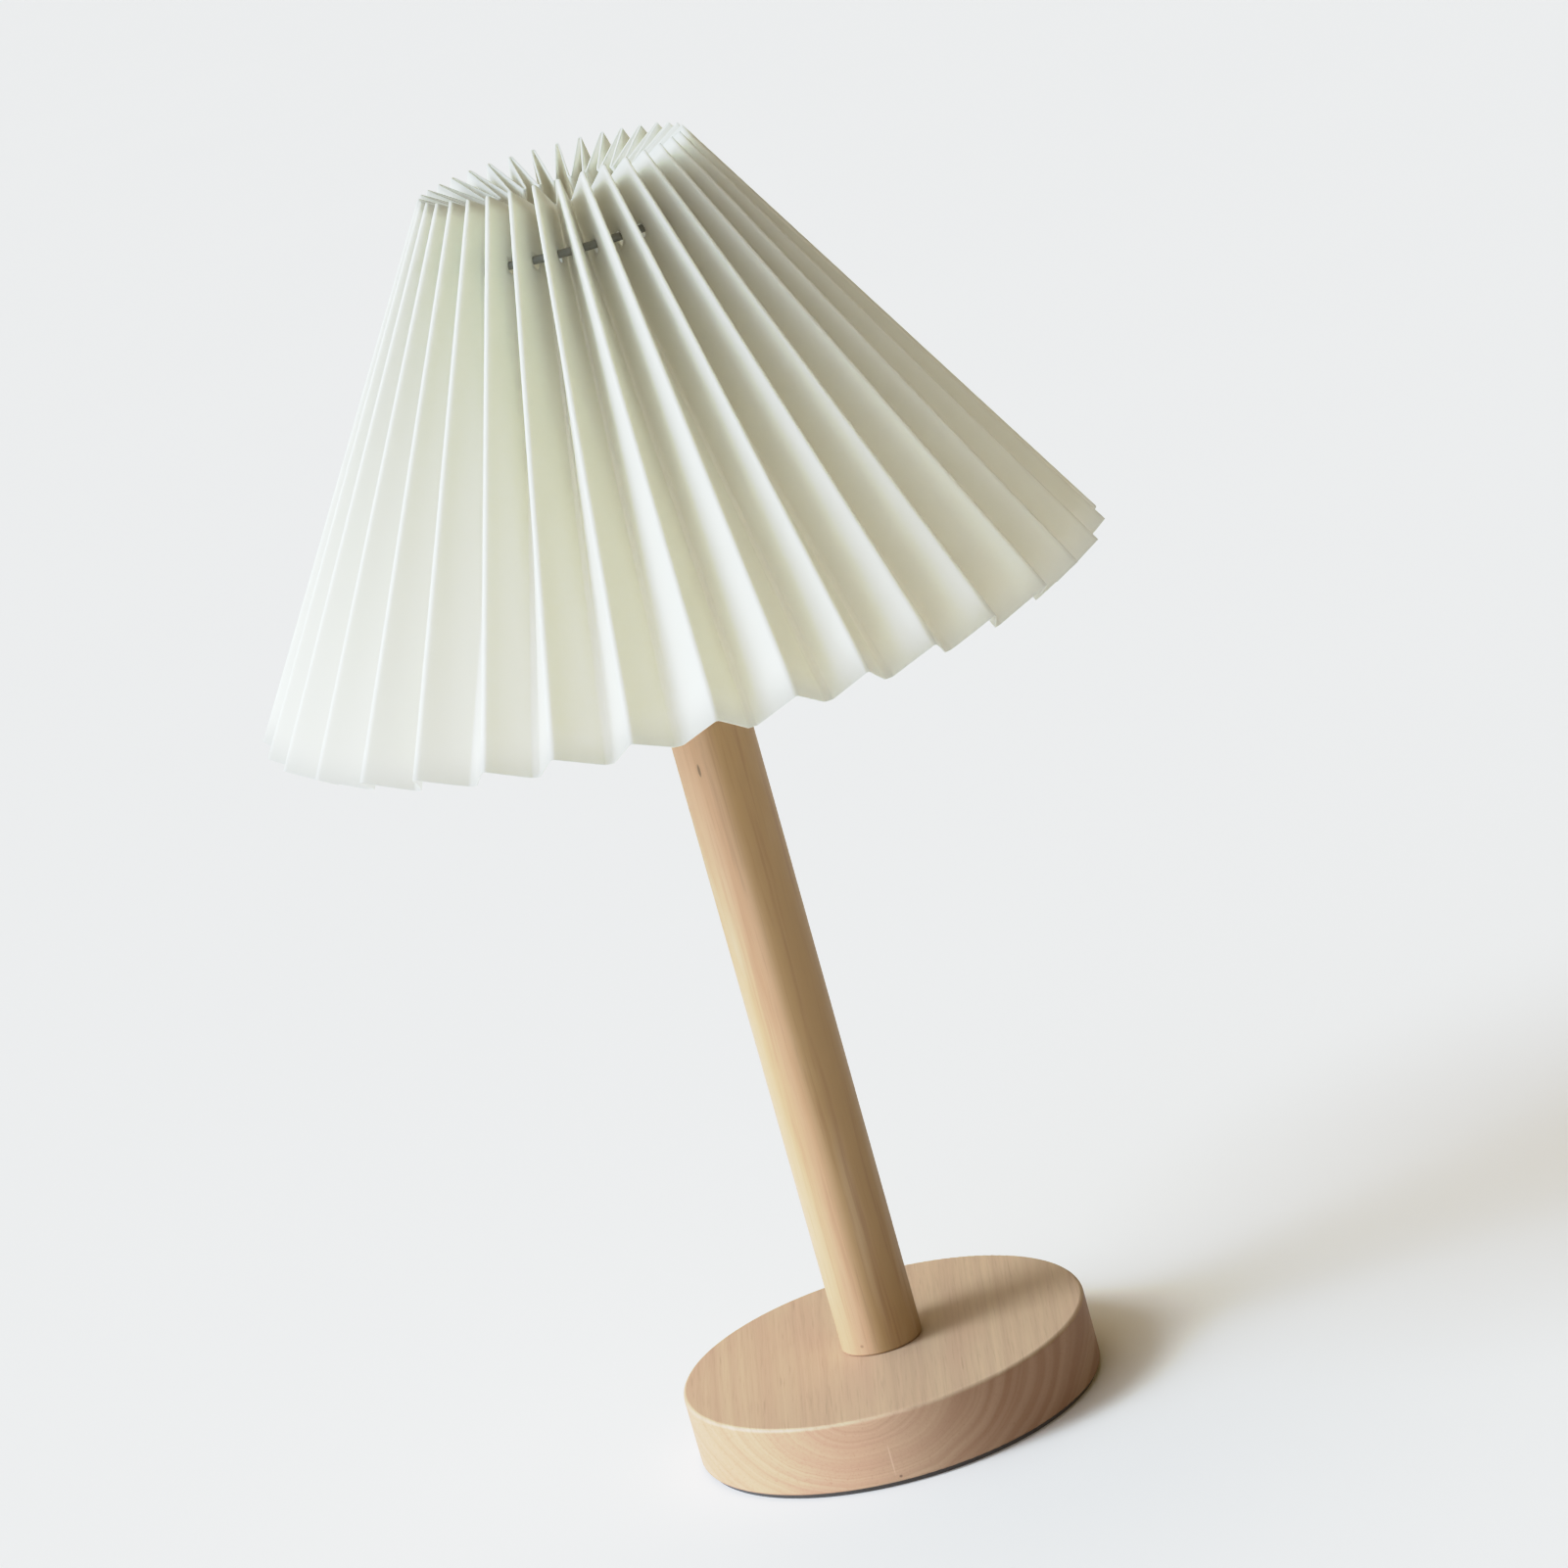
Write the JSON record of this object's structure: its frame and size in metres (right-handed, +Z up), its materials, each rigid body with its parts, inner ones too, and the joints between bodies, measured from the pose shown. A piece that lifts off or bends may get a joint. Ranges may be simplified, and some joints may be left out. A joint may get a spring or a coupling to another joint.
{
  "type": "pleated paper table lamp",
  "caption": "Small table lamp with a pleated paper cone shade on a threaded wire ring, a plain wooden dowel column and a round wooden foot.",
  "frame": {"origin": "centre of the underside, on the surface that the lamp stands on", "axes": "+Z up along the column, -Y to the front, +Y to the cord outlet at the back"},
  "size_m": [0.2542, 0.2541, 0.3931],
  "materials": {
    "foot_wood": "fine straight grain, thin matt oil",
    "dowel_wood": "long streaky grain, sanded, thin matt oil",
    "felt": "pressed felt",
    "zinc_steel": "zinc plated, dull",
    "dark_wire": "dark grey lacquer, satin",
    "holder_plastic": "moulded thermoset, satin",
    "core_ceramic": "unglazed white ceramic",
    "contact_brass": "stamped, bright",
    "outlet_plastic": "moulded, matt black",
    "shade_paper": "laminated paper, matt, ivory",
    "bulb_opal": "frosted inside",
    "bulb_clear": "clear",
    "bulb_metal": "rolled thread, bright",
    "bulb_black": "black glass",
    "filament_yellow": "phosphor coat"
  },
  "bodies": {
    "root": {"base_disc": "foot_wood", "base_pad": "felt", "cord_bushing": "outlet_plastic", "column": "dowel_wood", "threaded_tube": "zinc_steel", "base_washer": "zinc_steel", "base_nut": "zinc_steel", "lampholder_cap": "holder_plastic", "lampholder_lock_screw": "zinc_steel", "lampholder_core": "core_ceramic", "terminal_screws": "contact_brass", "centre_contact": "contact_brass", "screw_shell": "contact_brass", "lampholder_shell": "holder_plastic"},
    "seat_ring": {"lower_shade_ring": "holder_plastic"},
    "shade": {"carrier_hub": "dark_wire", "carrier_arm_1": "dark_wire", "carrier_arm_2": "dark_wire", "carrier_arm_3": "dark_wire", "carrier_ring": "dark_wire", "pleated_shade": "shade_paper"},
    "clamp_ring": {"upper_shade_ring": "holder_plastic"},
    "bulb": {"bulb_contact": "bulb_metal", "bulb_insulator": "bulb_black", "bulb_cap": "bulb_metal", "bulb_globe": "bulb_opal", "bulb_stem": "bulb_clear", "bulb_filaments": "filament_yellow"}
  },
  "joints": [
    {"name": "shade_turn", "type": "hinge", "parent": "root", "child": "seat_ring", "pos_m": [0, 0, 0.295], "axis": [0, 0, 1], "range_deg": [-180, 180]},
    {"name": "shade_lift", "type": "slide", "parent": "seat_ring", "child": "shade", "axis": [0, 0, 1], "range_m": [0, 0.1]},
    {"name": "clamp_ring_turn", "type": "hinge", "parent": "shade", "child": "clamp_ring", "pos_m": [0, 0, 0.295], "axis": [0, 0, 1], "range_deg": [0, 1080]},
    {"name": "bulb_lift", "type": "slide", "parent": "root", "child": "bulb", "axis": [0, 0, 1], "range_m": [0, 0.13]}
  ]
}
